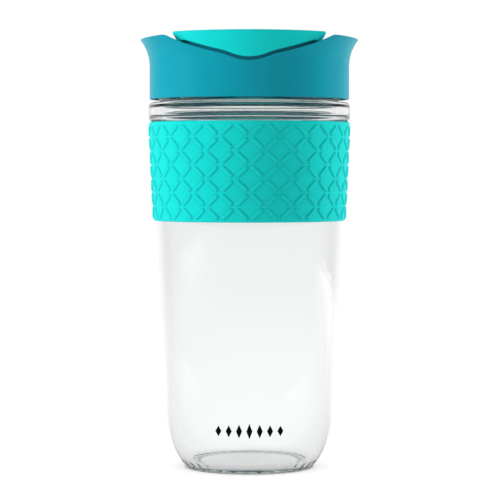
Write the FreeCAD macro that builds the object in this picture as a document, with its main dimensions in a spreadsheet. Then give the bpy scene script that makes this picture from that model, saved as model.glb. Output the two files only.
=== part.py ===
"""Glass travel cup with a silicone grip band, a two-lipped screw lid and a pull-off cap.

Frame: millimetres, +Z up, origin at the centre of the base on the surface that the cup stands on.
The two drinking lips lie on +X and -X.  The printed mark faces -Y.
"""
import math
import os

import FreeCAD
import Part
import Sketcher

DRIVING_DIMENSIONS = {
    # glass vessel
    "foot_radius": 26.5,
    "foot_inner_radius": 22.8,
    "push_up": 1.0,
    "push_up_draft": 1.2,
    "heel_low_radius": 29.4,
    "heel_low_height": 3.0,
    "heel_mid_radius": 33.85,
    "heel_mid_height": 12.0,
    "heel_top_radius": 36.36,
    "heel_top_height": 26.2,
    "heel_low_curve": 16.0,
    "heel_mid_curve": 34.0,
    "heel_top_curve": 52.0,
    "body_top_radius": 41.46,
    "body_top_height": 148.3,
    "wall": 3.8,
    "inside_heel_mid_radius": 30.24,
    "inside_heel_mid_height": 13.2,
    "inside_heel_low_radius": 26.3,
    "inside_heel_low_height": 5.1,
    "inside_floor": 3.2,
    "inside_floor_flat": 22.5,
    "inside_floor_curve": 4.7,
    "bead_radius": 43.1,
    "bead_top": 156.5,
    "bead_corner": 1.5,
    "bead_groove_low": 150.25,
    "bead_groove_width": 0.8,
    "bead_groove_curve": 0.6,
    "neck_radius": 38.2,
    "neck_fillet": 0.8,
    "mouth_radius": 34.8,
    "shoulder_low": 154.5,
    "shoulder_high": 158.8,
    "rim_height": 168.5,
    "rim_round": 1.2,
    # screw thread, two starts, right hand
    "thread_lead": 10.0,
    "thread_starts": 2,
    "thread_root_overlap": 0.3,
    "glass_thread_crest": 39.7,
    "glass_thread_start": 158.6,
    "glass_thread_turns": 0.6,
    "glass_thread_root_width": 2.4,
    "glass_thread_crest_width": 1.2,
    "lid_thread_crest": 38.7,
    "lid_thread_drop": 1.85,
    "lid_thread_turns": 0.35,
    "lid_thread_root_width": 2.0,
    "lid_thread_crest_width": 0.9,
    # silicone sleeve
    "sleeve_bottom": 106.0,
    "sleeve_top": 148.2,
    "sleeve_bottom_radius": 41.5,
    "sleeve_top_radius": 43.45,
    "sleeve_fit": 0.05,
    "sleeve_edge": 1.0,
    # lid shell
    "lid_bottom": 157.85,
    "lid_radius": 42.75,
    "lid_bottom_edge": 0.4,
    "shell_wall": 1.75,
    "flare_start": 172.0,
    "flare_curve": 18.2,
    "flare_top": 184.6,
    "saddle_low": 172.8,
    "saddle_bowl_x": 7.2,
    "saddle_bowl_rise": 1.42,
    "saddle_bowl_curve": 19.0,
    "saddle_shoulder_x": 13.0,
    "saddle_shoulder_rise": 3.29,
    "saddle_shoulder_curve": 40.0,
    "saddle_sweep_x": 28.5,
    "saddle_sweep_rise": 7.9,
    "saddle_sweep_curve": 148.0,
    "lip_start_x": 35.5,
    "lip_start_rise": 11.2,
    "lip_end_x": 48.0,
    "lip_end_rise": 10.5,
    # lid insert
    "bond_gap": 0.02,
    "insert_bottom": 158.6,
    "insert_root": 40.1,
    "deck_bottom": 170.0,
    "deck_top_edge": 172.0,
    "deck_top_centre": 171.2,
    "opening_radius": 18.0,
    "spigot_wall": 1.8,
    "spigot_bottom": 166.0,
    "skirt_outer": 34.3,
    "skirt_wall": 1.2,
    "skirt_bottom": 167.0,
    "seat_wall_radius": 40.4,
    "seat_wall_thickness": 1.2,
    "seat_wall_rise": 2.4,
    "seat_wall_half_width": 26.3,
    "seat_wall_end_rise": 7.13,
    "seat_wall_root": 171.0,
    "deck_clearance": 0.02,
    # rim gasket
    "gasket_gap": 0.05,
    "gasket_inner": 34.5,
    "gasket_outer": 39.5,
    "gasket_lip": 0.35,
    # cap cover
    "cap_radius": 42.6,
    "cap_top": 185.4,
    "cap_wall": 1.8,
    "cap_gap": 1.45,
    "cap_wave_end_x": 27.2,
    "cap_wave_end_rise": 7.46,
    "cap_foot_x": 28.3,
    "cap_foot_height": 181.2,
    "cap_end_x": 31.9,
    "cap_end_height": 184.3,
    "cap_end_wall": 1.5,
    "cap_edge_round": 0.5,
    # cap plug and its seal
    "plug_radius": 17.4,
    "plug_bottom": 166.4,
    "plug_wall": 1.6,
    "plug_chamfer": 0.8,
    "seal_height": 168.9,
    "seal_section": 1.1,
    "seal_centre_radius": 16.86,
    "seal_groove_radius": 15.7,
    "seal_groove_half": 1.2,
    "plug_cavity_radius": 14.1,
    # printed mark
    "ink_gap": 0.02,
    "ink_outer": 0.10,
    "mark_height": 19.1,
    "mark_count": 7,
    "mark_pitch": 4.3,
    "mark_half_width": 1.25,
    "mark_half_height": 2.3,
    "mark_centre_growth": 1.0,
}

SHEET_NAME = "dims"
TRIM_REACH = 80.0


class Dim:
    """A length together with the spreadsheet expression that it comes from."""

    def __init__(self, value, text):
        self.value = float(value)
        self.text = text

    @staticmethod
    def of(thing):
        return thing if isinstance(thing, Dim) else Dim(thing, repr(float(thing)))

    def _join(self, other, sign, value):
        return Dim(value, f"({self.text} {sign} {Dim.of(other).text})")

    def __add__(self, other):
        return self._join(other, "+", self.value + Dim.of(other).value)

    def __sub__(self, other):
        return self._join(other, "-", self.value - Dim.of(other).value)

    def __mul__(self, other):
        return self._join(other, "*", self.value * Dim.of(other).value)

    def __truediv__(self, other):
        return self._join(other, "/", self.value / Dim.of(other).value)

    def __neg__(self):
        return Dim(-self.value, f"(0 - {self.text})")


class Sizes:
    """The driving dimensions, read as Dim attributes: sizes.wall, sizes.neck_radius and so on."""

    def __init__(self, names):
        for name, value in names.items():
            setattr(self, name, Dim(value, f"{SHEET_NAME}.{name}"))


class Line:
    """A straight stretch of an outline, up to the point (x, y)."""

    def __init__(self, x, y):
        self.end = (Dim.of(x), Dim.of(y))


class Arc(Line):
    """A round stretch up to (x, y).  turn is +1 where the outline bends left, -1 where it bends right."""

    def __init__(self, x, y, radius, turn):
        super().__init__(x, y)
        self.radius = Dim.of(radius)
        self.turn = turn


doc = FreeCAD.newDocument("travel_cup")
sheet = doc.addObject("Spreadsheet::Sheet", SHEET_NAME)
for row, (name, value) in enumerate(DRIVING_DIMENSIONS.items(), start=1):
    sheet.set(f"A{row}", name)
    sheet.set(f"B{row}", str(value))
    sheet.setAlias(f"B{row}", name)
doc.recompute()
sizes = Sizes(DRIVING_DIMENSIONS)


def origin_part(body, role):
    """The plane or axis of a body's own origin that has this role."""
    return next(part for part in body.Origin.OriginFeatures if part.Role == role)


def bind(thing, **values):
    """Bind properties of a document object to spreadsheet expressions."""
    for name, value in values.items():
        thing.setExpression(name, Dim.of(value).text)


def arc_geometry(start, end, radius, turn):
    """The minor arc from start to end, and whether its own sense runs backwards along the outline."""
    chord = end - start
    middle = (start + end) * 0.5
    left = FreeCAD.Vector(-chord.y, chord.x, 0).normalize()
    offset = math.sqrt(radius * radius - chord.Length * chord.Length / 4)
    centre = middle + left * (offset * turn)
    first, last = (start, end) if turn > 0 else (end, start)
    begin = math.atan2(first.y - centre.y, first.x - centre.x)
    finish = math.atan2(last.y - centre.y, last.x - centre.x)
    circle = Part.Circle(centre, FreeCAD.Vector(0, 0, 1), radius)
    return Part.ArcOfCircle(circle, begin, finish), turn < 0


def draw_outline(sketch, start, steps):
    """Draw one closed outline whose corners and radii are bound to the spreadsheet."""
    corners = [(Dim.of(start[0]), Dim.of(start[1]))] + [step.end for step in steps]
    if (corners[-1][0].value, corners[-1][1].value) != (corners[0][0].value, corners[0][1].value):
        steps = steps + [Line(*corners[0])]
        corners.append(corners[0])
    pieces = []
    for step, first, last in zip(steps, corners, corners[1:]):
        begin = FreeCAD.Vector(first[0].value, first[1].value, 0)
        end = FreeCAD.Vector(last[0].value, last[1].value, 0)
        if isinstance(step, Arc):
            curve, backwards = arc_geometry(begin, end, step.radius.value, step.turn)
        else:
            curve, backwards = Part.LineSegment(begin, end), False
        index = sketch.addGeometry(curve, False)
        pieces.append((index, 2 if backwards else 1, 1 if backwards else 2))
        if isinstance(step, Arc):
            held = sketch.addConstraint(Sketcher.Constraint("Radius", index, step.radius.value))
            sketch.setExpression(f"Constraints[{held}]", step.radius.text)
    for number, (index, begin_end, _) in enumerate(pieces):
        before = pieces[number - 1]
        sketch.addConstraint(Sketcher.Constraint("Coincident", before[0], before[2], index, begin_end))
        for kind, place in zip(("DistanceX", "DistanceY"), corners[number]):
            held = sketch.addConstraint(Sketcher.Constraint(kind, index, begin_end, place.value))
            if place.text != repr(place.value):
                sketch.setExpression(f"Constraints[{held}]", place.text)


def new_body(label):
    """An empty body whose label is the node's name."""
    body = doc.addObject("PartDesign::Body", label)
    body.Label = label
    return body


def new_sketch(body, name, role="XZ_Plane"):
    """A sketch on one of the body's own origin planes."""
    sketch = body.newObject("Sketcher::SketchObject", name)
    sketch.AttachmentSupport = [(origin_part(body, role), "")]
    sketch.MapMode = "FlatFace"
    return sketch


def revolve(body, name, start, steps, kind="PartDesign::Revolution"):
    """Turn a half outline about the body's vertical axis, adding to the body or grooving it."""
    sketch = new_sketch(body, name + "_outline")
    draw_outline(sketch, start, steps)
    feature = body.newObject(kind, name)
    feature.Profile = sketch
    feature.ReferenceAxis = (sketch, ["V_Axis"])
    feature.Angle = 360.0
    sketch.Visibility = False
    return feature


def pad_across(body, name, start, steps, kind="PartDesign::Pad"):
    """Carry an outline in the XZ plane along Y, through everything both ways."""
    sketch = new_sketch(body, name + "_outline")
    draw_outline(sketch, start, steps)
    feature = body.newObject(kind, name)
    feature.Profile = sketch
    feature.SideType = "Symmetric"
    feature.Length = 2 * TRIM_REACH
    return feature


def mirror_across(body, name, feature):
    """Repeat a feature on the other side of the YZ plane."""
    mirror = body.newObject("PartDesign::Mirrored", name)
    mirror.Originals = [feature]
    mirror.MirrorPlane = (origin_part(body, "YZ_Plane"), [""])
    body.Tip = mirror
    return mirror


def add_thread(body, name, root, crest, middle, root_width, crest_width, turns):
    """Trapezoidal helical ridges, one for each start, from root to crest about the vertical axis."""
    sketch = new_sketch(body, name + "_section")
    outwards = 1 if crest.value > root.value else -1
    base = root - sizes.thread_root_overlap * outwards
    corners = [
        (base, middle - root_width / 2),
        (crest, middle - crest_width / 2),
        (crest, middle + crest_width / 2),
        (base, middle + root_width / 2),
    ]
    draw_outline(sketch, corners[0], [Line(*corner) for corner in corners[1:]])
    doc.recompute()
    ridge = body.newObject("PartDesign::AdditiveHelix", name)
    ridge.Profile = sketch
    ridge.ReferenceAxis = (sketch, ["V_Axis"])
    ridge.Mode = "pitch-turns-angle"
    bind(ridge, Pitch=sizes.thread_lead, Turns=turns)
    ridge.LeftHanded = False
    doc.recompute()
    pattern = body.newObject("PartDesign::PolarPattern", name + "_starts")
    pattern.Originals = [ridge]
    pattern.Axis = (origin_part(body, "Z_Axis"), [""])
    pattern.Angle = 360.0
    bind(pattern, Occurrences=sizes.thread_starts)
    body.Tip = pattern


def saddle_steps(lift):
    """The saddle edge from its low middle out to where it starts to climb to the lip, raised by lift."""
    low = sizes.saddle_low + lift
    return [
        Arc(sizes.saddle_bowl_x, low + sizes.saddle_bowl_rise, sizes.saddle_bowl_curve, 1),
        Arc(sizes.saddle_shoulder_x, low + sizes.saddle_shoulder_rise, sizes.saddle_shoulder_curve, -1),
    ]


def make_glass_vessel():
    """Blown glass: foot with a push-up, oval heel, tapered body, double bead, threaded neck, round rim."""
    body = new_body("glass_vessel")
    taper_inside_top = sizes.body_top_radius - sizes.wall
    inside_heel_radius = sizes.heel_top_radius - sizes.wall
    inside_top_curve = sizes.heel_top_curve - sizes.wall
    inside_mid_curve = sizes.heel_mid_curve - sizes.wall
    groove_high = sizes.bead_groove_low + sizes.bead_groove_width
    bead_inner = sizes.bead_radius - sizes.bead_corner
    rim_side = sizes.rim_height - sizes.rim_round
    revolve(body, "vessel_wall", (0, sizes.push_up), [
        Line(sizes.foot_inner_radius - sizes.push_up_draft, sizes.push_up),
        Line(sizes.foot_inner_radius, 0),
        Line(sizes.foot_radius, 0),
        Arc(sizes.heel_low_radius, sizes.heel_low_height, sizes.heel_low_curve, 1),
        Arc(sizes.heel_mid_radius, sizes.heel_mid_height, sizes.heel_mid_curve, 1),
        Arc(sizes.heel_top_radius, sizes.heel_top_height, sizes.heel_top_curve, 1),
        Line(sizes.body_top_radius, sizes.body_top_height),
        Arc(sizes.bead_radius, sizes.body_top_height + sizes.bead_corner, sizes.bead_corner + 0.2, 1),
        Line(sizes.bead_radius, sizes.bead_groove_low),
        Arc(sizes.bead_radius, groove_high, sizes.bead_groove_curve, -1),
        Line(sizes.bead_radius, sizes.bead_top - sizes.bead_corner),
        Arc(bead_inner, sizes.bead_top, sizes.bead_corner, 1),
        Line(sizes.neck_radius + sizes.neck_fillet, sizes.bead_top),
        Arc(sizes.neck_radius, sizes.bead_top + sizes.neck_fillet, sizes.neck_fillet, -1),
        Line(sizes.neck_radius, rim_side),
        Arc(sizes.neck_radius - sizes.rim_round, sizes.rim_height, sizes.rim_round, 1),
        Line(sizes.mouth_radius + sizes.rim_round, sizes.rim_height),
        Arc(sizes.mouth_radius, rim_side, sizes.rim_round, 1),
        Line(sizes.mouth_radius, sizes.shoulder_high),
        Line(taper_inside_top, sizes.shoulder_low),
        Line(inside_heel_radius, sizes.heel_top_height),
        Arc(sizes.inside_heel_mid_radius, sizes.inside_heel_mid_height, inside_top_curve, -1),
        Arc(sizes.inside_heel_low_radius, sizes.inside_heel_low_height, inside_mid_curve, -1),
        Arc(sizes.inside_floor_flat, sizes.inside_floor, sizes.inside_floor_curve, -1),
        Line(0, sizes.inside_floor),
    ])
    add_thread(body, "neck_thread", sizes.neck_radius, sizes.glass_thread_crest, sizes.glass_thread_start,
               sizes.glass_thread_root_width, sizes.glass_thread_crest_width, sizes.glass_thread_turns)
    return body


def make_silicone_sleeve():
    """Tapered silicone band stretched over the glass below the bead, with rounded outer edges."""
    body = new_body("silicone_sleeve")
    slope = ((sizes.body_top_radius - sizes.heel_top_radius)
             / (sizes.body_top_height - sizes.heel_top_height))
    inside_bottom = sizes.heel_top_radius + slope * (sizes.sleeve_bottom - sizes.heel_top_height)
    inside_top = sizes.heel_top_radius + slope * (sizes.sleeve_top - sizes.heel_top_height)
    edge = sizes.sleeve_edge
    revolve(body, "sleeve_band", (inside_bottom + sizes.sleeve_fit, sizes.sleeve_bottom), [
        Line(sizes.sleeve_bottom_radius - edge, sizes.sleeve_bottom),
        Arc(sizes.sleeve_bottom_radius, sizes.sleeve_bottom + edge, edge, 1),
        Line(sizes.sleeve_top_radius, sizes.sleeve_top - edge),
        Arc(sizes.sleeve_top_radius - edge, sizes.sleeve_top, edge, 1),
        Line(inside_top + sizes.sleeve_fit, sizes.sleeve_top),
    ])
    return body


def make_lid_shell():
    """Soft collar that flares into two lips.  Its top edge is one saddle, cut straight through along Y."""
    body = new_body("lid_shell")
    inner = sizes.lid_radius - sizes.shell_wall
    flare_centre = sizes.lid_radius + sizes.flare_curve
    inner_curve = sizes.flare_curve + sizes.shell_wall
    rise = sizes.flare_top - sizes.flare_start
    outer_reach = flare_centre - square_side(sizes.flare_curve, rise)
    inner_reach = flare_centre - square_side(inner_curve, rise)
    revolve(body, "collar", (inner, sizes.lid_bottom), [
        Line(sizes.lid_radius - sizes.lid_bottom_edge, sizes.lid_bottom),
        Arc(sizes.lid_radius, sizes.lid_bottom + sizes.lid_bottom_edge, sizes.lid_bottom_edge, 1),
        Line(sizes.lid_radius, sizes.flare_start),
        Arc(outer_reach, sizes.flare_top, sizes.flare_curve, -1),
        Line(inner_reach, sizes.flare_top),
        Arc(inner, sizes.flare_start, inner_curve, 1),
    ])
    sweep = Arc(sizes.saddle_sweep_x, sizes.saddle_low + sizes.saddle_sweep_rise,
                sizes.saddle_sweep_curve, 1)
    cut = pad_across(body, "saddle", (0, sizes.saddle_low), saddle_steps(0) + [
        sweep,
        Line(sizes.lip_start_x, sizes.saddle_low + sizes.lip_start_rise),
        Line(sizes.lip_end_x, sizes.saddle_low + sizes.lip_end_rise),
        Line(sizes.lip_end_x, sizes.flare_top + 5),
        Line(0, sizes.flare_top + 5),
    ], "PartDesign::Pocket")
    mirror_across(body, "saddle_other_half", cut)
    return body


def square_side(long_side, short_side):
    """The remaining side of a right triangle, as a length bound to the same cells."""
    value = math.sqrt(long_side.value ** 2 - short_side.value ** 2)
    return Dim(value, f"sqrt({long_side.text} ^ 2 - {short_side.text} ^ 2)")


def make_lid_insert():
    """Rigid threaded ring with the deck, the opening's spigot, a centring skirt and the cap's seat."""
    body = new_body("lid_insert")
    outer = sizes.lid_radius - sizes.shell_wall - sizes.bond_gap
    spigot_outer = sizes.opening_radius + sizes.spigot_wall
    skirt_inner = sizes.skirt_outer - sizes.skirt_wall
    revolve(body, "deck_and_ring", (sizes.insert_root, sizes.insert_bottom), [
        Line(outer, sizes.insert_bottom),
        Line(outer, sizes.deck_top_edge),
        Line(sizes.opening_radius, sizes.deck_top_centre),
        Line(sizes.opening_radius, sizes.spigot_bottom),
        Line(spigot_outer, sizes.spigot_bottom),
        Line(spigot_outer, sizes.deck_bottom),
        Line(skirt_inner, sizes.deck_bottom),
        Line(skirt_inner, sizes.skirt_bottom),
        Line(sizes.skirt_outer, sizes.skirt_bottom),
        Line(sizes.skirt_outer, sizes.deck_bottom),
        Line(sizes.insert_root, sizes.deck_bottom),
    ])
    seat_inner = sizes.seat_wall_radius - sizes.seat_wall_thickness
    revolve(body, "seat_wall", (seat_inner, sizes.seat_wall_root), [
        Line(sizes.seat_wall_radius, sizes.seat_wall_root),
        Line(sizes.seat_wall_radius, sizes.flare_top),
        Line(seat_inner, sizes.flare_top),
    ])
    seat_low = sizes.saddle_low + sizes.seat_wall_rise
    above_deck = sizes.deck_top_edge + sizes.deck_clearance
    trim = pad_across(body, "seat_wall_trim", (0, seat_low), saddle_steps(sizes.seat_wall_rise) + [
        Arc(sizes.seat_wall_half_width, seat_low + sizes.seat_wall_end_rise, sizes.saddle_sweep_curve, 1),
        Line(sizes.seat_wall_half_width, above_deck),
        Line(sizes.lip_end_x, above_deck),
        Line(sizes.lip_end_x, sizes.cap_top),
        Line(0, sizes.cap_top),
    ], "PartDesign::Pocket")
    mirror_across(body, "seat_wall_trim_other_half", trim)
    starts_apart = sizes.thread_lead / sizes.thread_starts
    middle = sizes.glass_thread_start - sizes.lid_thread_drop + starts_apart
    add_thread(body, "lid_thread", sizes.insert_root, sizes.lid_thread_crest, middle,
               sizes.lid_thread_root_width, sizes.lid_thread_crest_width, sizes.lid_thread_turns)
    return body


def make_rim_gasket():
    """Flat silicone ring between the glass rim and the deck, with bevelled outer corners."""
    body = new_body("rim_gasket")
    low = sizes.rim_height + sizes.gasket_gap
    high = sizes.deck_bottom - sizes.gasket_gap
    revolve(body, "gasket_ring", (sizes.gasket_inner, low), [
        Line(sizes.gasket_outer - sizes.gasket_lip, low),
        Line(sizes.gasket_outer, low + sizes.gasket_lip),
        Line(sizes.gasket_outer, high - sizes.gasket_lip),
        Line(sizes.gasket_outer - sizes.gasket_lip, high),
        Line(sizes.gasket_inner, high),
    ])
    return body


def make_cap_cover():
    """Bridge-shaped cap: flat top, front and back skirts that follow the saddle, slanted end walls."""
    body = new_body("cap_cover")
    wave_end = sizes.saddle_low + sizes.cap_gap + sizes.cap_wave_end_rise
    half = pad_across(body, "cap_block", (0, sizes.saddle_low + sizes.cap_gap),
                      saddle_steps(sizes.cap_gap) + [
        Arc(sizes.cap_wave_end_x, wave_end, sizes.saddle_sweep_curve, 1),
        Line(sizes.cap_foot_x, sizes.cap_foot_height),
        Line(sizes.cap_end_x, sizes.cap_end_height),
        Line(sizes.cap_end_x, sizes.cap_top - sizes.cap_edge_round),
        Arc(sizes.cap_end_x - sizes.cap_edge_round, sizes.cap_top, sizes.cap_edge_round, 1),
        Line(0, sizes.cap_top),
    ])
    mirror_across(body, "cap_block_other_half", half)
    ceiling = sizes.cap_top - sizes.cap_wall
    inside = sizes.cap_radius - sizes.cap_wall
    revolve(body, "cap_hollow", (0, sizes.saddle_low - 5), [
        Line(inside, sizes.saddle_low - 5),
        Line(inside, ceiling),
        Line(0, ceiling),
    ], "PartDesign::Groove")
    wall = sizes.cap_end_wall
    end = pad_across(body, "cap_end", (sizes.cap_foot_x, sizes.cap_foot_height), [
        Line(sizes.cap_end_x, sizes.cap_end_height),
        Line(sizes.cap_end_x, sizes.cap_top - wall),
        Line(sizes.cap_end_x - wall * 2, sizes.cap_top - wall),
        Line(sizes.cap_foot_x - wall, sizes.cap_foot_height + wall / 2),
    ])
    mirror_across(body, "cap_other_end", end)
    trim_outline = new_sketch(body, "cap_trim_outline", "XY_Plane")
    for radius in (sizes.cap_radius, sizes.cap_radius + TRIM_REACH):
        circle = Part.Circle(FreeCAD.Vector(0, 0, 0), FreeCAD.Vector(0, 0, 1), radius.value)
        index = trim_outline.addGeometry(circle, False)
        trim_outline.addConstraint(Sketcher.Constraint("Coincident", index, 3, -1, 1))
        held = trim_outline.addConstraint(Sketcher.Constraint("Radius", index, radius.value))
        trim_outline.setExpression(f"Constraints[{held}]", radius.text)
    trim = body.newObject("PartDesign::Pocket", "cap_trim")
    trim.Profile = trim_outline
    trim.SideType = "Symmetric"
    trim.Length = 6 * TRIM_REACH
    return body


def make_cap_plug():
    """Hollow stopper under the cap that fills the drinking opening, with a groove for its seal."""
    body = new_body("cap_plug")
    top = sizes.cap_top - sizes.cap_wall
    groove_low = sizes.seal_height - sizes.seal_groove_half
    groove_high = sizes.seal_height + sizes.seal_groove_half
    floor = sizes.plug_bottom + sizes.plug_wall
    wide_cavity = sizes.plug_radius - sizes.plug_wall
    step = groove_high + sizes.plug_wall
    revolve(body, "stopper", (0, sizes.plug_bottom), [
        Line(sizes.plug_radius - sizes.plug_chamfer, sizes.plug_bottom),
        Line(sizes.plug_radius, sizes.plug_bottom + sizes.plug_chamfer),
        Line(sizes.plug_radius, groove_low),
        Line(sizes.seal_groove_radius, groove_low),
        Line(sizes.seal_groove_radius, groove_high),
        Line(sizes.plug_radius, groove_high),
        Line(sizes.plug_radius, top),
        Line(wide_cavity, top),
        Line(wide_cavity, step),
        Line(sizes.plug_cavity_radius, step),
        Line(sizes.plug_cavity_radius, floor),
        Line(0, floor),
    ])
    return body


def make_plug_seal():
    """Silicone O-ring in the plug's groove."""
    ring = doc.addObject("Part::Torus", "plug_seal")
    ring.Label = "plug_seal"
    bind(ring, Radius1=sizes.seal_centre_radius, Radius2=sizes.seal_section)
    ring.setExpression("Placement.Base.z", sizes.seal_height.text)
    return ring


def make_printed_mark():
    """A row of small lozenges printed in black ink low on the front of the glass."""
    film = doc.addObject("PartDesign::Body", "ink_film")
    low, high = sizes.ink_gap, sizes.ink_outer
    revolve(film, "film_band", (sizes.heel_mid_radius + low, sizes.heel_mid_height), [
        Line(sizes.heel_mid_radius + high, sizes.heel_mid_height),
        Arc(sizes.heel_top_radius + high, sizes.heel_top_height, sizes.heel_top_curve, 1),
        Line(sizes.heel_top_radius + low, sizes.heel_top_height),
        Arc(sizes.heel_mid_radius + low, sizes.heel_mid_height, sizes.heel_top_curve, -1),
    ])
    stencil = doc.addObject("Sketcher::SketchObject", "mark_stencil")
    stencil.Placement = FreeCAD.Placement(FreeCAD.Vector(0, 0, 0),
                                          FreeCAD.Rotation(FreeCAD.Vector(1, 0, 0), 90))
    count = int(sizes.mark_count.value)
    for number in range(count):
        place = number - (count - 1) / 2
        centre = sizes.mark_pitch * place
        height = sizes.mark_half_height + sizes.mark_centre_growth * (1 - abs(place) / (count // 2))
        draw_outline(stencil, (centre + sizes.mark_half_width, sizes.mark_height), [
            Line(centre, sizes.mark_height + height),
            Line(centre - sizes.mark_half_width, sizes.mark_height),
            Line(centre, sizes.mark_height - height),
        ])
    doc.recompute()
    print_depth = doc.addObject("Part::Extrusion", "print_depth")
    print_depth.Base = stencil
    print_depth.DirMode = "Custom"
    print_depth.Dir = FreeCAD.Vector(0, -1, 0)
    print_depth.Solid = True
    bind(print_depth, LengthFwd=sizes.heel_top_radius + 5)
    mark = doc.addObject("Part::Common", "printed_mark")
    mark.Label = "printed_mark"
    mark.Base = film
    mark.Tool = print_depth
    return mark


def find_faults(nodes):
    """Every document object in an error state and every node without a sound shape."""
    faults = [thing.Name for thing in doc.Objects if {"Invalid", "Error"} & set(thing.State)]
    for node in nodes:
        if node.Shape.isNull() or not node.Shape.isValid() or not node.Shape.Solids:
            faults.append(node.Label)
    return faults


nodes = [
    make_glass_vessel(),
    make_silicone_sleeve(),
    make_lid_shell(),
    make_lid_insert(),
    make_rim_gasket(),
    make_cap_cover(),
    make_cap_plug(),
    make_plug_seal(),
    make_printed_mark(),
]
doc.recompute()
faults = find_faults(nodes)
if faults:
    raise RuntimeError("not sound: " + ", ".join(faults))

os.makedirs("parts", exist_ok=True)
for node in nodes:
    node.Shape.exportStep(f"parts/{node.Label}.step")
    box = node.Shape.BoundBox
    print(f"{node.Label}: {len(node.Shape.Solids)} solid(s), {node.Shape.Volume / 1000:.2f} cm3, "
          f"X {box.XMin:.2f}..{box.XMax:.2f}, Y {box.YMin:.2f}..{box.YMax:.2f}, "
          f"Z {box.ZMin:.2f}..{box.ZMax:.2f}")
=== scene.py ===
"""Looks of a glass travel cup: glass vessel, silicone grip sleeve, screw lid and pull-off cap.

Lengths are millimetres in the model's frame (+Z up, origin at the centre of the base, lips on +X and -X,
print facing -Y) until a mesh is made, which is in metres.  A skin is a grid of points, rows by columns,
where the columns go once round the cup.
"""

import logging
import math
from dataclasses import dataclass
from enum import Enum

import bpy
import numpy as np
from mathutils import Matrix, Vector


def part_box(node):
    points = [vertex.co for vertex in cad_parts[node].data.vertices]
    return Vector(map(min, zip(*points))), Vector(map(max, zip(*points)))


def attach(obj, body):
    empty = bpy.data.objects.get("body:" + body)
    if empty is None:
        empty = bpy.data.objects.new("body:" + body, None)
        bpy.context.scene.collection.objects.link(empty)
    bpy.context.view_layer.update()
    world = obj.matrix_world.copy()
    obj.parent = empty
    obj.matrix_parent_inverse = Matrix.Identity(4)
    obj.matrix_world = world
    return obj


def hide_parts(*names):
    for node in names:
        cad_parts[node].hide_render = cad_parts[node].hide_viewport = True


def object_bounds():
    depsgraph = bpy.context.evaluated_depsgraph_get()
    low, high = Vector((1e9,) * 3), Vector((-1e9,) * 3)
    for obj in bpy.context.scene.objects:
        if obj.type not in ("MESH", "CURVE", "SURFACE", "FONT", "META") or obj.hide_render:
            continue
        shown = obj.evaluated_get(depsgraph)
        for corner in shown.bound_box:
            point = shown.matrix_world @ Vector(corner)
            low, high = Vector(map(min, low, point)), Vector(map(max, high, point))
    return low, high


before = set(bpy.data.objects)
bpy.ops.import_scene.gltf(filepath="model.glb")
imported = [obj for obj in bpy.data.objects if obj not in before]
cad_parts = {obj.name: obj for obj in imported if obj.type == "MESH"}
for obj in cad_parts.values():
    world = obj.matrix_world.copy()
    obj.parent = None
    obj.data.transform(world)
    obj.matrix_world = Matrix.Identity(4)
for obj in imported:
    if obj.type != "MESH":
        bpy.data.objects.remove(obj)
CAD_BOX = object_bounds()

MM = 0.001
SHARP_EDGE = math.radians(38)
LOG = logging.getLogger("travel_cup")


# ---------------------------------------------------------------- outlines and skins


@dataclass(frozen=True)
class Straight:
    """A straight stretch of an outline up to (r, z), in equal cells."""

    r: float
    z: float
    cells: int = 1


@dataclass(frozen=True)
class Curve:
    """A circular stretch of an outline up to (r, z).  A positive radius bends left, a negative one right."""

    r: float
    z: float
    radius: float
    cells: int = 6


def arc_points(start: np.ndarray, end: np.ndarray, radius: float, cells: int) -> np.ndarray:
    """Points on the minor arc from start to end, the start left out.

    The centre stands on the chord's perpendicular bisector, sqrt(radius^2 - (chord / 2)^2) from the chord.

    Args:
        start: first point of the arc.
        end: last point of the arc.
        radius: radius, positive with the centre on the left of the chord.
        cells: number of steps along the arc.

    Returns:
        Array of shape (cells, 2).
    """
    chord = end - start
    left = np.array((-chord[1], chord[0])) / np.linalg.norm(chord)
    reach = math.sqrt(radius**2 - chord @ chord / 4)
    centre = (start + end) / 2 + left * math.copysign(reach, radius)
    first = math.atan2(start[1] - centre[1], start[0] - centre[0])
    last = math.atan2(end[1] - centre[1], end[0] - centre[0])
    sweep = (last - first + math.pi) % (2 * math.pi) - math.pi
    angles = first + sweep * np.arange(1, cells + 1) / cells
    return centre + abs(radius) * np.stack((np.cos(angles), np.sin(angles)), axis=1)


def trace(start: tuple[float, float], stretches: list[Straight | Curve]) -> np.ndarray:
    """Sample an outline of straight and round stretches.

    Args:
        start: first point.
        stretches: the stretches in order.

    Returns:
        Array of shape (points, 2), the start included.
    """
    points = [np.array([start], float)]
    for stretch in stretches:
        first, last = points[-1][-1], np.array((stretch.r, stretch.z), float)
        if isinstance(stretch, Curve):
            points.append(arc_points(first, last, stretch.radius, stretch.cells))
        else:
            share = np.arange(1, stretch.cells + 1)[:, None] / stretch.cells
            points.append(first + (last - first) * share)
    return np.concatenate(points)


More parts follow.
